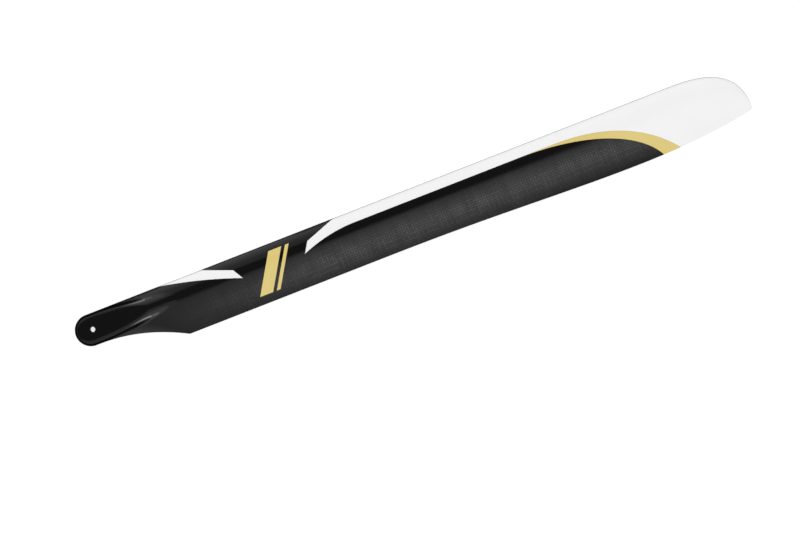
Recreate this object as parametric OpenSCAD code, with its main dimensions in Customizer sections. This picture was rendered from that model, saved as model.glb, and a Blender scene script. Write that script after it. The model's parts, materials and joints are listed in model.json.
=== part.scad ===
// Main rotor blade of a large model helicopter: one bonded composite moulding.
// Origin at the middle of the bolt hole, +X to the tip, +Y to the leading edge, +Z along the bolt.

/* [Wing] */
// Bolt hole to tip
blade_len = 700; // [640:5:800]
// Chord of the straight inboard stretch
chord = 56; // [48:0.5:60]
// Greatest chord, on the outer part of the wing
chord_wide = 62; // [58:0.5:72]
// Greatest thickness of the wing section
wing_t = 7.4; // [5:0.1:9]
// Thickness of the blunt trailing edge
edge_t = 0.8; // [0.4:0.1:1.6]
// Bolt hole to where the trailing edge starts to widen
widen_x = 300; // [180:5:400]
// Widest chord back from the tip
wide_back = 130; // [95:1:180]
// How late the widening comes, 1 for an even S
widen_lag = 1.25; // [1:0.05:2]

/* [Tip] */
// Length over which the leading edge sweeps back to the tip
tip_len = 75; // [40:1:90]
// Fullness of that sweep, 2 for an ellipse
tip_full = 2.7; // [2:0.1:4]
// How far the trailing edge runs forward between the widest chord and the tip
tip_rake = 10.7; // [2:0.1:20]
// How late it does so, 1 for a straight line
rake_lag = 2.3; // [1.5:0.1:4]

/* [Lug] */
// Width of the lug
lug_w = 32.4; // [26:0.2:38]
// Thickness of the lug, between the grip's cheeks
lug_t = 14; // [11:0.5:18]
// Bolt hole to the lug's round end
lug_end = 18.4; // [17:0.2:30]
// Width of the rounding along the lug's edges
lug_edge = 3.2; // [1.5:0.1:6]
// Fullness of that rounding, 2 for an ellipse
edge_full = 1.6; // [1.3:0.1:4]
// Diameter of the bolt hole
bolt_d = 5.5; // [3:0.1:8]

/* [Fairing] */
// Bolt hole to where the trailing side starts to flare
flare_x = 2; // [0:0.5:12]
// Bolt hole to the corner where the flare meets the trailing edge
corner_x = 89.5; // [70:0.5:110]
// Bolt hole to where the lug starts to narrow into a tongue
tongue_x = 10; // [8:0.5:20]
// Bolt hole to where the tongue's flat face has narrowed to a ridge
flat_x = 60; // [52:1:80]
// How late the flat face narrows, 1 for straight sides
flat_lag = 2; // [1.2:0.1:3]
// Width of the ridge
ridge_w = 4; // [1:0.5:6]
// Fullness of the ridge's shoulders, 2 for an ellipse
ridge_full = 1.9; // [1.3:0.1:3]
// Bolt hole to where the tongue starts to sink into the wing
sink_x = 33; // [24:1:49]
// Bolt hole to where the tongue is gone
fair_x = 145; // [112:1:170]
// Width of the tongue where it is gone
tongue_w = 8; // [7:0.5:20]
// How late the tongue narrows, 1 for straight sides
tongue_lag = 1.25; // [1:0.05:2]
// Depth over which the tongue blends into the wing
blend = 0.6; // [0.4:0.1:2.4]

/* [Hidden] */

lead_y = lug_w / 2;
lug_r = lug_w / 2;
lug_h = lug_t / 2;
round_x = lug_r - lug_end;
wide_x = blade_len - wide_back;
sweep_x = blade_len - tip_len;
tip_y = lead_y - chord_wide + tip_rake;
bolt_over = 1;
hair = 0.001;

// Chordwise steps on each face: two rims, two shoulders and the crown between them
rim_steps = 8;
shoulder_steps = 5;
crown_steps = 1;
chord_steps = 2 * rim_steps + 2 * shoulder_steps + crown_steps;

// Shares of the half width for the lug's outer lines, and of those for its inner ones
foot_share = 0.94;
brow_share = 0.85;
crown_share = 0.3;

// Chord shares of the same four lines on the wing, where they bound the crown that it lies on
WING_LINES = [0.13, 0.27, 0.47, 0.72];

// Spanwise steps of each stretch
round_steps = 14;
lug_steps = 3;
flare_steps = 26;
merge_steps = 8;
plain_steps = 3;
widen_steps = 12;
rake_steps = 4;
tip_steps = 18;

// Thickness law of a symmetric wing section, greatest half thickness 1 at three tenths of the chord
SECTION = [2.969, -1.260, -3.516, 2.843, -1.015];
function section(s) =
    SECTION[0] * sqrt(s) + s * (SECTION[1] + s * (SECTION[2] + s * (SECTION[3] + s * SECTION[4])));

function share(x, from, to) = min(max((x - from) / (to - from), 0), 1);
function ease(t) = t * t * (3 - 2 * t);
function bow(t, full) = pow(max(1 - pow(t, full), 0), 1 / full);
function round_half(x) = sqrt(max(lug_r * lug_r - pow(min(x - round_x, 0), 2), 0));

// Leading edge: round lug end, straight, then the swept tip
function lead(x) =
    x < round_x ? round_half(x) : tip_y + (lead_y - tip_y) * bow(share(x, sweep_x, blade_len), tip_full);

// Trailing edge: round lug end, flare, straight, widening, then the rake to the tip
function flare(x) = (chord - lug_w) * pow(share(x, flare_x, corner_x), 2);
function widening(x) = (chord_wide - chord) * ease(pow(share(x, widen_x, wide_x), widen_lag));
function rake(x) = tip_rake * pow(share(x, wide_x, blade_len), rake_lag);
function trail(x) = x < round_x ? -round_half(x) : rake(x) - lug_r - flare(x) - widening(x);

// Half thickness of the wing, thinning with the chord at the tip and inside the lug's round end
function wing_half(x) = wing_t / 2 * min((lead(x) - trail(x)) / (x < wide_x ? lug_w : chord), 1);
function wing_z(x, y) =
    let (s = share(y, lead(x), trail(x)))
    wing_half(x) * section(s) + edge_t / 2 * s;

// Half thickness of the lug and of the tongue that carries it into the wing
function mix(a, b, t) = a + (b - a) * t;
function narrowing(x) = pow(share(x, tongue_x, flat_x), flat_lag);
function tongue_half(x) = mix(lug_r, tongue_w / 2, pow(share(x, tongue_x, fair_x), tongue_lag));
function flat_half(x) = mix(lug_r - lug_edge, ridge_w / 2, narrowing(x));
function fullness(x) = mix(edge_full, ridge_full, narrowing(x));
function tongue_top(x) = lug_h * (1 - ease(share(x, sink_x, fair_x)));
function tongue_z(x, y) =
    let (reach = norm([min(x - round_x, 0), y]))
    tongue_top(x) * bow(share(reach, flat_half(x), tongue_half(x)), fullness(x));

// Higher of two surfaces, with a fillet where they cross
function fillet_max(a, b, depth) = max(a, b) + pow(max(depth - abs(a - b), 0), 2) / (4 * depth);
function half_z(x, y) =
    let (tongue = tongue_z(x, y))
    fillet_max(wing_z(x, y), tongue, max(min(blend, tongue), hair));

stations = concat(
    [for (i = [1 : round_steps - 1]) round_x - lug_r * cos(90 * i / round_steps)],
    between(round_x, tongue_x, lug_steps),
    between(tongue_x, corner_x, flare_steps),
    between(corner_x, fair_x, merge_steps),
    between(fair_x, widen_x, plain_steps),
    between(widen_x, wide_x, widen_steps),
    between(wide_x, sweep_x, rake_steps),
    [for (i = [0 : tip_steps - 1]) sweep_x + tip_len * pow(sin(90 * i / tip_steps), 2 / tip_full)]
);

// Chord shares of the lines that follow the tongue's foot and the edge of its flat face
function foot(x, edge) = min(tongue_half(x), edge * foot_share);
function brow(x, edge) = foot(x, edge) * min(max(flat_half(x) / foot(x, edge), crown_share), brow_share);
function root_guides(x) =
    let (front = lead(x), back = -trail(x))
    [
        for (y = [foot(x, front), brow(x, front), -brow(x, back), -foot(x, back)])
            (front - y) / (front + back)
    ];
function guides(x) = mix(root_guides(min(x, fair_x)), WING_LINES, share(x, fair_x, widen_x));

// Chord shares of one section's points, from the leading edge to the trailing edge
function between(from, to, count) = [for (k = [0 : count - 1]) from + (to - from) * k / count];
function shares(x) =
    let (g = guides(x))
    concat(
        [for (k = [0 : rim_steps - 1]) g[0] * pow(k / rim_steps, 2)],
        between(g[0], g[1], shoulder_steps),
        between(g[1], g[2], crown_steps),
        between(g[2], g[3], shoulder_steps),
        [for (k = [rim_steps : -1 : 0]) 1 - (1 - g[3]) * pow(k / rim_steps, 2)]
    );

// Points of one section: leading edge, over the upper face to the trailing edge, back along the lower
function ring(x) =
    let (
        ys = [for (s = shares(x)) lead(x) - s * (lead(x) - trail(x))],
        upper = [for (k = [1 : chord_steps]) [x, ys[k], half_z(x, ys[k])]],
        lower = [for (k = [chord_steps : -1 : 1]) [x, ys[k], -half_z(x, ys[k])]]
    )
    concat([[x, lead(x), 0]], upper, lower);

module skin() {
    count = 2 * chord_steps + 1;
    last = len(stations) - 1;
    tip = 1 + count * (last + 1);
    points = concat(
        [[-lug_end, 0, 0]],
        [for (x = stations) each ring(x)],
        [[blade_len, tip_y, 0]]
    );
    root_faces = [for (k = [0 : count - 1]) [0, 1 + k, 1 + (k + 1) % count]];
    side_faces = [
        for (i = [0 : last - 1], k = [0 : count - 1])
            let (
                a = 1 + count * i + k,
                b = 1 + count * i + (k + 1) % count,
                c = b + count,
                d = a + count
            )
            each [[a, d, c], [a, c, b]]
    ];
    tip_faces = [
        for (k = [0 : count - 1])
            [1 + count * last + k, tip, 1 + count * last + (k + 1) % count]
    ];
    polyhedron(points, concat(root_faces, side_faces, tip_faces));
}

module blade() {
    color("#1b1b1d")
    difference() {
        skin();
        translate([0, 0, -lug_h - bolt_over]) cylinder(d = bolt_d, h = lug_t + 2 * bolt_over, $fn = 48);
    }
}

blade();
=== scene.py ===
import json
import math

import bpy
from mathutils import Matrix, Vector


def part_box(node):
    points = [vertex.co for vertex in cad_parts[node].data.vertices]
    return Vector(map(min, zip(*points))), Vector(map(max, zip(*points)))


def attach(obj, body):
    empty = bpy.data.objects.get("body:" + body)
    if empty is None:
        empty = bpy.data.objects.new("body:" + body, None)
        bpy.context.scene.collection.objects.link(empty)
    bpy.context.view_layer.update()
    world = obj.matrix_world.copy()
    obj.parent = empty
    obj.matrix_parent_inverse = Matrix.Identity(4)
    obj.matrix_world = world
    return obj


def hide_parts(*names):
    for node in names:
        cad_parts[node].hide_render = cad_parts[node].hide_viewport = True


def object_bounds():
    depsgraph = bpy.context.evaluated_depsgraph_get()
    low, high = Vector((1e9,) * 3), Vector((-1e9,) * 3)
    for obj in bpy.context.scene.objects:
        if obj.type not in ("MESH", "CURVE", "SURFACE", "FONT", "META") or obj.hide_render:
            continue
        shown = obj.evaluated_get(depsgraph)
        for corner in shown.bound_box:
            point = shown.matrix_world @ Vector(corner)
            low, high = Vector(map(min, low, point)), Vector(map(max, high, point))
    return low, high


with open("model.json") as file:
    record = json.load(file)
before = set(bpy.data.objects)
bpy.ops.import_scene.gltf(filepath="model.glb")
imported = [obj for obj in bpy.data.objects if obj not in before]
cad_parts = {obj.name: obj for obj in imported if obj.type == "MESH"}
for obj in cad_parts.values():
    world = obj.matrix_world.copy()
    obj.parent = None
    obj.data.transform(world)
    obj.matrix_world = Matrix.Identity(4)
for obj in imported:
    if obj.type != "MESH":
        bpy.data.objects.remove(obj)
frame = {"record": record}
cad_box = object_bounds()


# The moulding.
# One bonded composite blade, cured in a closed mould: a thick flat lug, a tongue that carries it into the
# flared wing, a long run that widens outboard, and a swept tip. The bolt hole is drilled through the lug.
MM_PER_M = 1000.0
low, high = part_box("blade")
sizes = {
    "blade_len": high.x,
    "lug_end": -low.x,
    "lug_r": high.y,
    "lug_h": high.z,
    "chord_wide": high.y - low.y,
    "bolt_r": frame["record"]["mounts"][0]["dims"]["r_mm"] / MM_PER_M,
    "chord": 0.056,
    "wing_t": 0.0074,
    "edge_t": 0.0008,
    "widen_x": 0.300,
    "wide_back": 0.130,
    "widen_lag": 1.25,
    "tip_len": 0.075,
    "tip_full": 2.7,
    "tip_rake": 0.0107,
    "rake_lag": 2.3,
    "lug_edge": 0.0032,
    "edge_full": 1.6,
    "flare_x": 0.002,
    "corner_x": 0.0895,
    "tongue_x": 0.010,
    "flat_x": 0.060,
    "flat_lag": 2.0,
    "ridge_w": 0.004,
    "ridge_full": 1.9,
    "sink_x": 0.033,
    "fair_x": 0.145,
    "tongue_w": 0.008,
    "tongue_lag": 1.25,
    "blend": 0.0006,
}
coated = bpy.data.materials.new("coated laminate")
drilled = bpy.data.materials.new("drilled laminate")


# A value that varies over a surface: it adds and multiplies like a number, and each step becomes a Math node
class Field:
    def __init__(self, tree, socket):
        self.tree = tree
        self.socket = socket

    def __add__(self, other):
        return reckon("ADD", self, other)

    def __radd__(self, other):
        return reckon("ADD", other, self)

    def __sub__(self, other):
        return reckon("SUBTRACT", self, other)

    def __rsub__(self, other):
        return reckon("SUBTRACT", other, self)

    def __mul__(self, other):
        return reckon("MULTIPLY", self, other)

    def __rmul__(self, other):
        return reckon("MULTIPLY", other, self)

    def __truediv__(self, other):
        return reckon("DIVIDE", self, other)

    def __rtruediv__(self, other):
        return reckon("DIVIDE", other, self)

    def __pow__(self, other):
        return reckon("POWER", self, other)

    def __neg__(self):
        return reckon("MULTIPLY", self, -1.0)

    def __abs__(self):
        return reckon("ABSOLUTE", self)


def feed(source, socket):
    if isinstance(source, Field):
        source = source.socket
    socket.id_data.links.new(source, socket)


def reckon(operation, *values, clamp=False):
    tree = next(value.tree for value in values if isinstance(value, Field))
    node = tree.nodes.new("ShaderNodeMath")
    node.operation = operation
    node.use_clamp = clamp
    for socket, value in zip(node.inputs, values):
        if isinstance(value, Field):
            feed(value, socket)
        else:
            socket.default_value = value
    return Field(tree, node.outputs[0])


def split(tree, vector):
    node = tree.nodes.new("ShaderNodeSeparateXYZ")
    feed(vector, node.inputs[0])
    return [Field(tree, socket) for socket in node.outputs]


def share(value, start, stop):
    return reckon("DIVIDE", value - start, stop - start, clamp=True)


tree = bpy.data.node_groups.new("blade moulding", "GeometryNodeTree")
tree.interface.new_socket("Geometry", in_out="OUTPUT", socket_type="NodeSocketGeometry")
for name in sizes:
    tree.interface.new_socket(name, in_out="INPUT", socket_type="NodeSocketFloat")
group_in = tree.nodes.new("NodeGroupInput")
size = {name: Field(tree, group_in.outputs[name]) for name in sizes}
blade_len, lug_end, lug_r, lug_h = (size[name] for name in ("blade_len", "lug_end", "lug_r", "lug_h"))
chord, chord_wide, edge_t = (size[name] for name in ("chord", "chord_wide", "edge_t"))
corner_x, tongue_x, fair_x, widen_x = (size[name] for name in ("corner_x", "tongue_x", "fair_x", "widen_x"))
round_x = lug_r - lug_end
wide_x = blade_len - size["wide_back"]
sweep_x = blade_len - size["tip_len"]
tip_y = lug_r - chord_wide + size["tip_rake"]

# Spanwise stations: a fan over the lug's round end, even stretches, and a fan that closes up at the tip
ROUND_STEPS = 40
STRETCH_STEPS = (12, 110, 40, 40, 50, 14)
TIP_STEPS = 60
RIM_STEPS = 16
SHOULDER_STEPS = 9
CROWN_STEPS = 8
QUARTER_TURN = math.pi / 2

spans = ROUND_STEPS + sum(STRETCH_STEPS) + TIP_STEPS
chords = 2 * RIM_STEPS + 2 * SHOULDER_STEPS + CROWN_STEPS
rings = 2 * chords + 1
grid = tree.nodes.new("GeometryNodeMeshGrid")
grid.inputs["Size X"].default_value = 1.0
grid.inputs["Size Y"].default_value = 1.0
grid.inputs["Vertices X"].default_value = spans + 1
grid.inputs["Vertices Y"].default_value = rings + 1
u, v, _ = split(tree, tree.nodes.new("GeometryNodeInputPosition").outputs["Position"])
station = reckon("ROUND", (u + 0.5) * spans)
x = round_x - lug_r * reckon("COSINE", share(station, 0.0, ROUND_STEPS) * QUARTER_TURN)
done = ROUND_STEPS
ends = (round_x, tongue_x, corner_x, fair_x, widen_x, wide_x, sweep_x)
for steps, start, stop in zip(STRETCH_STEPS, ends, ends[1:]):
    x = x + (stop - start) * share(station, done, done + steps)
    done += steps
fan = reckon("SINE", share(station, done, spans) * QUARTER_TURN)
x = x + size["tip_len"] * fan ** (2.0 / size["tip_full"])


# Leading and trailing edge at each station
def least(first, *others):
    for other in others:
        first = reckon("MINIMUM", first, other)
    return first


def most(first, *others):
    for other in others:
        first = reckon("MAXIMUM", first, other)
    return first


def ease(t):
    return t * t * (3.0 - 2.0 * t)


def bow(t, fullness):
    return most(1.0 - t ** fullness, 0.0) ** (1.0 / fullness)


past_round = least(x - round_x, 0.0)
round_half = most(lug_r * lug_r - past_round * past_round, 0.0) ** 0.5
lead = round_half - (lug_r - tip_y) * (1.0 - bow(share(x, sweep_x, blade_len), size["tip_full"]))
flare = (chord - 2.0 * lug_r) * share(x, size["flare_x"], corner_x) ** 2.0
widening = (chord_wide - chord) * ease(share(x, widen_x, wide_x) ** size["widen_lag"])
rake = size["tip_rake"] * share(x, wide_x, blade_len) ** size["rake_lag"]
trail = rake - round_half - flare - widening
width = lead - trail

# Chord shares, with lines along the tongue's foot and along the edge of its flat face
WING_LINES = (0.10, 0.24, 0.40, 0.70)
FOOT_SHARE = 0.94
BROW_SHARE = 0.85
CROWN_SHARE = 0.3
LEAST_EDGE = 0.0001


def mix(first, second, t):
    return first + (second - first) * t


narrowing = share(x, tongue_x, size["flat_x"]) ** size["flat_lag"]
tongue_half = mix(lug_r, size["tongue_w"] / 2.0, share(x, tongue_x, fair_x) ** size["tongue_lag"])
flat_half = mix(lug_r - size["lug_edge"], size["ridge_w"] / 2.0, narrowing)
flat_edge = most(flat_half * flat_half - past_round * past_round, 0.0) ** 0.5
front = most(lead, LEAST_EDGE)
back = most(-trail, LEAST_EDGE)
guides = []
for edge, side in ((front, 1.0), (back, -1.0)):
    foot = least(tongue_half, edge * FOOT_SHARE)
    brow = foot * least(most(flat_edge / foot, CROWN_SHARE), BROW_SHARE)
    pair = [(front - foot * side) / (front + back), (front - brow * side) / (front + back)]
    guides += pair if side > 0 else pair[::-1]
guides = [mix(guide, line, share(x, fair_x, widen_x)) for guide, line in zip(guides, WING_LINES)]
column = reckon("ROUND", (0.5 - v) * rings)
step = least(column, rings - column)
half_turn = reckon("LESS_THAN", column, chords + 0.5) * 2.0 - 1.0
nose = share(step, 0.0, RIM_STEPS)
s = guides[0] * nose * nose
done = RIM_STEPS
for steps, start, stop in zip((SHOULDER_STEPS, CROWN_STEPS, SHOULDER_STEPS), guides, guides[1:]):
    s = s + (stop - start) * share(step, done, done + steps)
    done += steps
rest = 1.0 - share(step, done, chords)
s = s + (1.0 - guides[3]) * (1.0 - rest * rest)
y = lead - s * width

# Half thickness: the symmetric wing section, the lug and its tongue, and the fillet between them
SECTION = (2.969, -1.260, -3.516, 2.843, -1.015)
EDGE_FADE = 4.0
HAIR = 1e-6

full_width = mix(2.0 * lug_r, chord, reckon("GREATER_THAN", x, wide_x))
wing_half = size["wing_t"] / 2.0 * least(width / full_width, 1.0)
section = s * (SECTION[1] + s * (SECTION[2] + s * (SECTION[3] + s * SECTION[4]))) + SECTION[0] * s ** 0.5
wing = wing_half * section + edge_t / 2.0 * s * least(width / (EDGE_FADE * edge_t), 1.0)
fullness = mix(size["edge_full"], size["ridge_full"], narrowing)
top = lug_h * (1.0 - ease(share(x, size["sink_x"], fair_x)))
reach = (past_round * past_round + y * y) ** 0.5
tongue = top * bow(share(reach, flat_half, tongue_half), fullness)
depth = most(least(size["blend"], tongue), HAIR)
overlap = most(depth - abs(wing - tongue), 0.0)
seam = least(step, station, spans - station, 1.0)
z = half_turn * seam * (most(wing, tongue) + overlap * overlap / (4.0 * depth))

# The grid takes that shape, closes along its seam, is drilled, and keeps a crease at its sharp edges
MERGE = 4e-6
HOLE_SIDES = 96
DRILL_REACH = 3.0
HOLE_MARGIN = 1.001
UPRIGHT = 0.5
CREASE = math.radians(35.0)


def work(kind, geometry, socket="Geometry"):
    node = tree.nodes.new(kind)
    feed(geometry, node.inputs[socket])
    return node


shape = tree.nodes.new("ShaderNodeCombineXYZ")
for socket, value in zip(shape.inputs, (x, y, z)):
    feed(value, socket)
skin = work("GeometryNodeSetPosition", grid.outputs["Mesh"])
feed(shape.outputs[0], skin.inputs["Position"])
closed = work("GeometryNodeMergeByDistance", skin.outputs[0])
closed.inputs["Distance"].default_value = MERGE
drill = tree.nodes.new("GeometryNodeMeshCylinder")
drill.inputs["Vertices"].default_value = HOLE_SIDES
feed(size["bolt_r"], drill.inputs["Radius"])
feed(lug_h * DRILL_REACH, drill.inputs["Depth"])
bored = tree.nodes.new("GeometryNodeMeshBoolean")
bored.operation = "DIFFERENCE"
bored.solver = "MANIFOLD"
feed(closed.outputs[0], bored.inputs["Mesh 1"])
feed(drill.outputs["Mesh"], bored.inputs["Mesh 2"])
smooth = work("GeometryNodeSetShadeSmooth", bored.outputs["Mesh"])
angle = Field(tree, tree.nodes.new("GeometryNodeInputMeshEdgeAngle").outputs["Unsigned Angle"])
creased = work("GeometryNodeSetShadeSmooth", smooth.outputs[0])
creased.domain = "EDGE"
creased.inputs["Shade Smooth"].default_value = False
feed(reckon("GREATER_THAN", angle, CREASE), creased.inputs["Selection"])
real = work("GeometryNodeRealizeInstances", creased.outputs[0])
finished = work("GeometryNodeSetMaterial", real.outputs[0])
finished.inputs["Material"].default_value = coated
walled = work("GeometryNodeSetMaterial", finished.outputs[0])
walled.inputs["Material"].default_value = drilled
face_x, face_y, _ = split(tree, tree.nodes.new("GeometryNodeInputPosition").outputs["Position"])
face_up = split(tree, tree.nodes.new("GeometryNodeInputNormal").outputs["Normal"])[2]
near_axis = reckon("LESS_THAN", (face_x * face_x + face_y * face_y) ** 0.5, size["bolt_r"] * HOLE_MARGIN)
upright = reckon("LESS_THAN", abs(face_up), UPRIGHT)
feed(near_axis * upright, walled.inputs["Selection"])
work("NodeGroupOutput", walled.outputs[0])

# The rule becomes a plain mesh, without the empty material slot that comes first
rule = bpy.data.objects.new("blade_rule", bpy.data.meshes.new("blade_rule"))
bpy.context.scene.collection.objects.link(rule)
modifier = rule.modifiers.new("moulding", "NODES")
modifier.node_group = tree
for item in tree.interface.items_tree:
    if item.in_out == "INPUT":
        modifier[item.identifier] = sizes[item.name]
rule.update_tag()
bpy.context.view_layer.update()
evaluated = rule.evaluated_get(bpy.context.evaluated_depsgraph_get())
mesh = bpy.data.meshes.new_from_object(evaluated)
mesh.name = "blade_moulding"
mesh.materials.pop(index=0)
bpy.data.objects.remove(rule)
blade = bpy.data.objects.new("blade_moulding", mesh)
bpy.context.scene.collection.objects.link(blade)
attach(blade, "root")
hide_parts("blade")


# The cloth.
# Carbon cloth in a plain weave, laid with its tows along the span and the chord and cured under clear gel.
# Extra plies and black gel hide it near the root, the spar and the edge, and hand lay-up leaves it patchy.
# The weave is real, but its fibres' sheen is painted into the colour: each tow is lighter over its crown,
# fading to the gaps.
TOW = 0.00255
TOW_TONES = (0.7, 1.2)
TOW_GAP = 0.25
TOW_CROSSING = 3.0
OTHER_TOWS = 500.5
WEAVE_X = (0.075, 0.240)
WEAVE_SPAR = (-0.003, -0.024)
WEAVE_SPAR_LAG = 0.85
WEAVE_EDGE = (-0.0435, -0.0235)
PATCH_SCALE = 70.0
PATCH_DETAIL = 2.0
PATCH_LIMITS = (0.34, 0.66)
PATCH_LEAST = 0.72


def tow_tone(index):
    """Each tow's share of the painted sheen, a little brighter or dimmer at random."""
    node = index.tree.nodes.new("ShaderNodeTexWhiteNoise")
    node.noise_dimensions = "1D"
    feed(index, node.inputs["W"])
    return mix(*TOW_TONES, Field(index.tree, node.outputs["Value"]))


weave = bpy.data.node_groups.new("woven tows", "ShaderNodeTree")
weave.interface.new_socket("Place", in_out="INPUT", socket_type="NodeSocketVector")
weave.interface.new_socket("Tow", in_out="INPUT", socket_type="NodeSocketFloat")
weave.interface.new_socket("Painted sheen", in_out="OUTPUT", socket_type="NodeSocketFloat")
weave.interface.new_socket("Relief", in_out="OUTPUT", socket_type="NodeSocketFloat")
weave_in = weave.nodes.new("NodeGroupInput")
weave_out = weave.nodes.new("NodeGroupOutput")
x, y, _ = split(weave, weave_in.outputs["Place"])
tow = Field(weave, weave_in.outputs["Tow"])
along = reckon("SINE", x / tow * math.pi)
across = reckon("SINE", y / tow * math.pi)
crown = mix(TOW_GAP, 1.0, (abs(along) * abs(across)) ** 0.5)
over = reckon("MULTIPLY_ADD", along * across, TOW_CROSSING, 0.5, clamp=True)
along_tone = tow_tone(reckon("FLOOR", y / tow))
across_tone = tow_tone(reckon("FLOOR", x / tow) + OTHER_TOWS)
patch = weave.nodes.new("ShaderNodeTexNoise")
patch.inputs["Scale"].default_value = PATCH_SCALE
patch.inputs["Detail"].default_value = PATCH_DETAIL
feed(weave_in.outputs["Place"], patch.inputs["Vector"])
patchy = mix(PATCH_LEAST, 1.0, share(Field(weave, patch.outputs["Fac"]), *PATCH_LIMITS))
shown = share(x, *WEAVE_X) * share(y, *WEAVE_SPAR) ** WEAVE_SPAR_LAG * share(y, *WEAVE_EDGE)
# The painted sheen of the fibres: lighter over each tow's crown, in each tow's own tone, patchy, and only
# where the weave shows
feed(crown * mix(across_tone, along_tone, over) * patchy * shown, weave_out.inputs["Painted sheen"])
feed(crown * shown, weave_out.inputs["Relief"])


# The paint.
# White and gold are sprayed on the cloth under the clear coat, masked to sharp edges: a white field over the
# tip that runs in along the leading edge, a gold sweep behind it, a white flash by the root and gold bars.
PAINT_EDGE = 0.00025
BAND_Y = 0.0047
BAND_X = 0.285
BAND_FALL = 3.4
BAND_CUT = ((0.2265, -0.0073), (0.2335, 0.0042), (0.266, 0.0161))
# Start and end along the span, depth and fullness of each side of the gold sweep
OUTER_SWEEP = (0.495, 0.643, 0.1322, 2.3)
INNER_SWEEP = (0.455, 0.605, 0.0720, 2.2)
# The flash starts at the leading edge, falls away from it in a slight curve and is cut by two slanting lines
FLASH_START = (0.077, 0.0161)
FLASH_FALL = (0.178, 1.20)
FLASH_TOP = ((0.1224, 0.0161), (0.1533, 0.0040))
FLASH_CUT = ((0.1533, 0.0040), (0.1598, -0.0073))
BARS_X = 0.192
BARS_Y = (-0.031, 0.009)
BARS_LEAN = 0.61
WIDE_BAR = (-0.011, 0.003)
THIN_BAR = (0.007, 0.011)


def sweep_drop(x, sweep):
    start, stop, depth, fullness = sweep
    return (1.0 - bow(share(x, start, stop), fullness)) * depth


def beside(x, y, line):
    """Distance along X outboard of a slanting line through two points."""
    (x0, y0), (x1, y1) = line
    return x - x0 - (y - y0) * ((x1 - x0) / (y1 - y0))


def within(value, limits):
    return least(value - limits[0], limits[1] - value)


def masked(inset):
    """Full paint inside the masked line, none outside it, and a hair's width between."""
    return reckon("MULTIPLY_ADD", inset, 1.0 / PAINT_EDGE, 0.5, clamp=True)


paint = bpy.data.node_groups.new("paint fields", "ShaderNodeTree")
paint.interface.new_socket("Place", in_out="INPUT", socket_type="NodeSocketVector")
paint.interface.new_socket("White", in_out="OUTPUT", socket_type="NodeSocketFloat")
paint.interface.new_socket("Gold", in_out="OUTPUT", socket_type="NodeSocketFloat")
paint_in = paint.nodes.new("NodeGroupInput")
paint_out = paint.nodes.new("NodeGroupOutput")
x, y, _ = split(paint, paint_in.outputs["Place"])
outer = BAND_Y - sweep_drop(x, OUTER_SWEEP)
inner = BAND_Y - sweep_drop(x, INNER_SWEEP)
band_foot = outer - BAND_FALL * most(BAND_X - x, 0.0) ** 2.0
band = least(y - band_foot, beside(x, y, BAND_CUT[:2]), beside(x, y, BAND_CUT[1:]))
run = x - FLASH_START[0]
flash_foot = FLASH_START[1] - run * FLASH_FALL[0] - run * run * FLASH_FALL[1]
flash = least(y - flash_foot, -beside(x, y, FLASH_TOP), -beside(x, y, FLASH_CUT))
sweep = least(outer - y, y - inner) - PAINT_EDGE / 2.0
lean = x - BARS_X - (y - sum(BARS_Y) / 2.0) * BARS_LEAN
bars = least(most(within(lean, WIDE_BAR), within(lean, THIN_BAR)), within(y, BARS_Y))
feed(masked(most(band, flash)), paint_out.inputs["White"])
feed(masked(most(sweep, bars)), paint_out.inputs["Gold"])


# The clear coat.
# One polished gel coat over cloth and paint gives both the same mirror gloss. The tows stand out under it by
# a trace and the film of paint levels them. The white is darkened to grey over the nose of the leading edge,
# where the surface turns away from overhead: that is painted shade.
TOW_DARK = (0.0030, 0.0030, 0.0034, 1.0)
# Painted sheen: the lightest the carbon cloth's colour goes, over the crowns of the tows
TOW_PAINTED_SHEEN = (0.0700, 0.0700, 0.0715, 1.0)
WHITE = (0.86, 0.86, 0.86, 1.0)
WHITE_MOTTLE = 0.97
# Painted shade: the grey that the white turns to over the nose of the leading edge
NOSE_PAINTED_SHADE = (0.45, 0.45, 0.45, 1.0)
NOSE_SHADE_FACING = (0.88, 0.50)
GOLD = (0.72, 0.575, 0.20, 1.0)
GOLD_MOTTLE = 0.93
MOTTLE_SCALE = 45.0
MOTTLE_DETAIL = 3.0
DULLNESS = (0.36, 0.54)
TOW_RELIEF = 0.00006
TOW_RELIEF_STRENGTH = 0.5
COAT = {
    "Specular IOR Level": 0.08,
    "Coat Weight": 1.0,
    "Coat Roughness": 0.04,
    "Coat IOR": 1.5,
}


def add_group(tree, group, place):
    node = tree.nodes.new("ShaderNodeGroup")
    node.node_tree = group
    feed(place, node.inputs["Place"])
    return node


def blend_colours(tree, factor, first, second):
    node = tree.nodes.new("ShaderNodeMix")
    node.data_type = "RGBA"
    feed(factor, node.inputs["Factor"])
    for socket, value in zip([s for s in node.inputs if s.type == "RGBA"], (first, second)):
        if isinstance(value, bpy.types.NodeSocket):
            feed(value, socket)
        else:
            socket.default_value = value
    return next(s for s in node.outputs if s.type == "RGBA")


def darker(colour, tone):
    return [tone * part for part in colour[:3]] + [1.0]


def emboss(tree, height, relief, strength):
    node = tree.nodes.new("ShaderNodeBump")
    node.inputs["Strength"].default_value = strength
    node.inputs["Distance"].default_value = relief
    feed(height, node.inputs["Height"])
    return node.outputs["Normal"]


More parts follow.
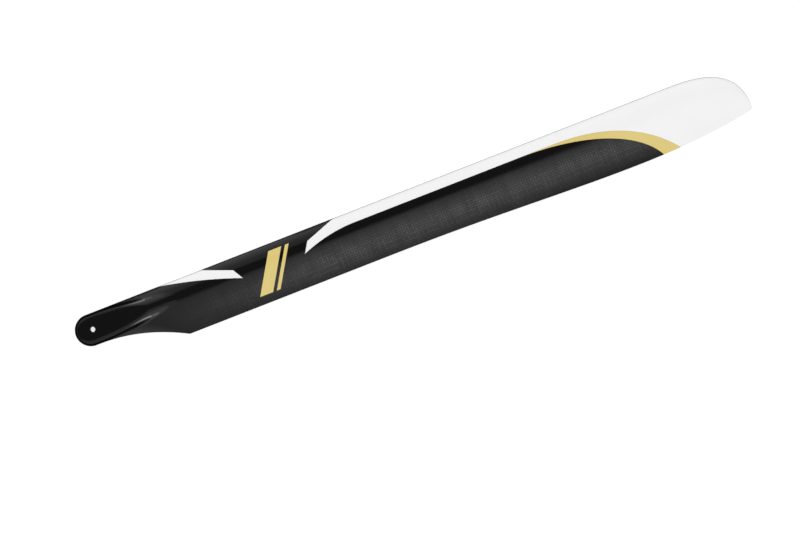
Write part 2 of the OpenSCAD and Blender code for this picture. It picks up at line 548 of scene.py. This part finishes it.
coated.use_nodes = True
layers = coated.node_tree
shader = layers.nodes["Principled BSDF"]
bearings = layers.nodes.new("ShaderNodeTexCoord")
cloth = add_group(layers, weave, bearings.outputs["Object"])
cloth.inputs["Tow"].default_value = TOW
fields = add_group(layers, paint, bearings.outputs["Object"])
mottle = layers.nodes.new("ShaderNodeTexNoise")
mottle.inputs["Scale"].default_value = MOTTLE_SCALE
mottle.inputs["Detail"].default_value = MOTTLE_DETAIL
feed(bearings.outputs["Object"], mottle.inputs["Vector"])
white = blend_colours(layers, mottle.outputs["Fac"], WHITE, darker(WHITE, WHITE_MOTTLE))
gold = blend_colours(layers, mottle.outputs["Fac"], GOLD, darker(GOLD, GOLD_MOTTLE))
# Painted shade on the white: greyer as the surface tilts from facing up towards facing sideways, over the
# leading edge's nose
facing = split(layers, bearings.outputs["Normal"])[2]
white = blend_colours(layers, share(abs(facing), *NOSE_SHADE_FACING), white, NOSE_PAINTED_SHADE)
# The cloth's colour is black raised towards a painted sheen over the tows
colour = blend_colours(layers, cloth.outputs["Painted sheen"], TOW_DARK, TOW_PAINTED_SHEEN)
colour = blend_colours(layers, fields.outputs["Gold"], colour, gold)
colour = blend_colours(layers, fields.outputs["White"], colour, white)
feed(colour, shader.inputs["Base Color"])
feed(mix(*DULLNESS, Field(layers, mottle.outputs["Fac"])), shader.inputs["Roughness"])
film = most(Field(layers, fields.outputs["White"]), Field(layers, fields.outputs["Gold"]))
standing = Field(layers, cloth.outputs["Relief"]) * (1.0 - film)
feed(emboss(layers, standing, TOW_RELIEF, TOW_RELIEF_STRENGTH), shader.inputs["Normal"])
for socket, value in COAT.items():
    shader.inputs[socket].default_value = value


# The drilled hole.
# The bolt hole is drilled through the cured lug, so its wall is bare cut laminate: dull and dark grey, with
# paler dust in the cut plies and the fine rasp that the drill leaves.
DRILLED = (0.05, 0.05, 0.052, 1.0)
DRILLED_DUST = (0.11, 0.11, 0.11, 1.0)
DRILLED_DULLNESS = (0.55, 0.85)
PLY_SCALE = 900.0
RASP_RELIEF = 0.0001
RASP_STRENGTH = 0.6

drilled.use_nodes = True
layers = drilled.node_tree
shader = layers.nodes["Principled BSDF"]
plies = layers.nodes.new("ShaderNodeTexNoise")
plies.inputs["Scale"].default_value = PLY_SCALE
feed(layers.nodes.new("ShaderNodeTexCoord").outputs["Object"], plies.inputs["Vector"])
dusty = blend_colours(layers, plies.outputs["Fac"], DRILLED, DRILLED_DUST)
feed(dusty, shader.inputs["Base Color"])
feed(mix(*DRILLED_DULLNESS, Field(layers, plies.outputs["Fac"])), shader.inputs["Roughness"])
feed(emboss(layers, plies.outputs["Fac"], RASP_RELIEF, RASP_STRENGTH), shader.inputs["Normal"])


# The table.
# A wide matt white top that the blade lies on, lit from within so that it stays white close to the blade.
# It is kept out of the coat's reflections, because the sides of the lug are dark in the photo.
TABLE_REACH = 30.0
TABLE_WHITE = (0.33, 0.33, 0.33, 1.0)
TABLE_DULLNESS = 0.9
TABLE_GLOW = 0.78
PLAIN_WHITE = (1.0, 1.0, 1.0, 1.0)

table_z = cad_box[0][2]
corners = [(sx * TABLE_REACH, sy * TABLE_REACH, table_z) for sx, sy in ((-1, -1), (1, -1), (1, 1), (-1, 1))]
floor_mesh = bpy.data.meshes.new("table")
floor_mesh.from_pydata(corners, [], [(0, 1, 2, 3)])
floor = bpy.data.objects.new("table", floor_mesh)
bpy.context.scene.collection.objects.link(floor)
table = bpy.data.materials.new("white table")
table.use_nodes = True
shader = table.node_tree.nodes["Principled BSDF"]
shader.inputs["Base Color"].default_value = TABLE_WHITE
shader.inputs["Roughness"].default_value = TABLE_DULLNESS
shader.inputs["Specular IOR Level"].default_value = 0.0
shader.inputs["Emission Color"].default_value = PLAIN_WHITE
shader.inputs["Emission Strength"].default_value = TABLE_GLOW
floor_mesh.materials.append(table)
floor.visible_glossy = False


# The tent.
# White cloth hung over the table on both sides of the blade gives the soft light. It leaves a slot overhead
# for the camera, and the coat mirrors that slot as the dark line along the crown of the blade.
TENT_ENDS = 0.28
TENT_ENDS_TILT = (math.radians(15.0), math.radians(40.0))
HORIZON = (-0.05, 0.15)
# Degrees from overhead, towards the trailing side, and the glow of the cloth there
TENT = (
    (-90, 0.05), (-78, 0.24), (-62, 0.42), (-50, 0.62), (-40, 0.90), (-30, 0.86), (-23, 0.64), (-16, 0.42),
    (-12, 0.35), (-9.0, 0.30), (-6.8, 0.02), (0.8, 0.02), (2.6, 0.30), (4.0, 0.40), (10, 0.42), (14, 0.36),
    (17, 0.34), (19, 0.52), (23, 0.78), (40, 0.85), (50, 0.62), (62, 0.42), (78, 0.24), (90, 0.05),
)

world = bpy.data.worlds.new("tent")
bpy.context.scene.world = world
world.use_nodes = True
sky = world.node_tree
dx, dy, dz = split(sky, sky.nodes.new("ShaderNodeTexCoord").outputs["Generated"])
behind = reckon("ARCTAN2", -dy, dz)
beyond = abs(reckon("ARCSINE", dx))
first_tilt = TENT[0][0]
last_tilt = TENT[-1][0]
curve = sky.nodes.new("ShaderNodeFloatCurve")
points = curve.mapping.curves[0].points
while len(points) < len(TENT):
    points.new(0.5, 0.5)
for point, (tilt, cloth_glow) in zip(points, TENT):
    point.location = ((tilt - first_tilt) / (last_tilt - first_tilt), cloth_glow)
    point.handle_type = "VECTOR"
curve.mapping.update()
feed(share(behind, math.radians(first_tilt), math.radians(last_tilt)), curve.inputs["Value"])
glow = mix(Field(sky, curve.outputs[0]), TENT_ENDS, share(beyond, *TENT_ENDS_TILT))
background = sky.nodes["Background"]
background.inputs["Color"].default_value = PLAIN_WHITE
feed(glow * share(dz, *HORIZON), background.inputs["Strength"])


# The lamps.
# One large ceiling lamp lights the table and the paint evenly. Two small gridded lamps, brightest in the
# middle, hang on either side of the wing and are aimed inboard at the tongue, where they draw two streaks.
CEILING_SIZE = 5.0
CEILING_POWER = 158.0
CEILING_PLACE = (0.31, -0.05, 4.0)
STRIP_AIM = Vector((0.045, 0.0, 0.0))
STRIP_PLACE = (0.150, 0.235, 0.172)
STRIP_SIZE = (0.18, 0.12)
STRIP_SPREAD = math.radians(50.0)
TRAILING_GLOW = 0.85
LEADING_GLOW = 0.52
# Brings the middle of a lamp's face to full strength
HEART = 16.0

lamp = bpy.data.lights.new("ceiling", "AREA")
lamp.shape = "SQUARE"
lamp.size = CEILING_SIZE
lamp.energy = CEILING_POWER
ceiling = bpy.data.objects.new("ceiling", lamp)
ceiling.location = CEILING_PLACE
ceiling.visible_camera = False
ceiling.visible_glossy = False
bpy.context.scene.collection.objects.link(ceiling)

for side, strip_glow in ((-1.0, TRAILING_GLOW), (1.0, LEADING_GLOW)):
    lamp = bpy.data.lights.new("strip", "AREA")
    lamp.shape = "RECTANGLE"
    lamp.size, lamp.size_y = STRIP_SIZE
    lamp.energy = strip_glow * math.pi * STRIP_SIZE[0] * STRIP_SIZE[1]
    lamp.spread = STRIP_SPREAD
    lamp.use_nodes = True
    face = lamp.node_tree
    u, v, _ = split(face, face.nodes.new("ShaderNodeNewGeometry").outputs["Parametric"])
    feed(HEART * u * (1.0 - u) * v * (1.0 - v), face.nodes["Emission"].inputs["Strength"])
    strip = bpy.data.objects.new("strip", lamp)
    strip.location = (STRIP_PLACE[0], side * STRIP_PLACE[1], STRIP_PLACE[2])
    strip.rotation_euler = (STRIP_AIM - strip.location).to_track_quat("-Z", "Y").to_euler()
    strip.visible_camera = False
    strip.visible_diffuse = False
    bpy.context.scene.collection.objects.link(strip)


# The camera.
# It looks straight down through a long lens, as the photo does, and is turned so that the blade runs up to
# the right across the frame.
AIM = Vector((0.3111, -0.0536, 0.0))
TURN = math.radians(-21.35)
VIEW_WIDTH = 0.8058
FOCAL_LENGTH = 200.0
FAR = 200.0

lens = bpy.data.cameras.new("camera")
lens.lens = FOCAL_LENGTH
lens.clip_end = FAR
camera = bpy.data.objects.new("camera", lens)
distance = VIEW_WIDTH * lens.lens / lens.sensor_width
camera.matrix_world = Matrix.Translation(AIM + Vector((0, 0, distance))) @ Matrix.Rotation(TURN, 4, "Z")
scene = bpy.context.scene
scene.collection.objects.link(camera)
scene.camera = camera
scene.view_settings.view_transform = "Standard"
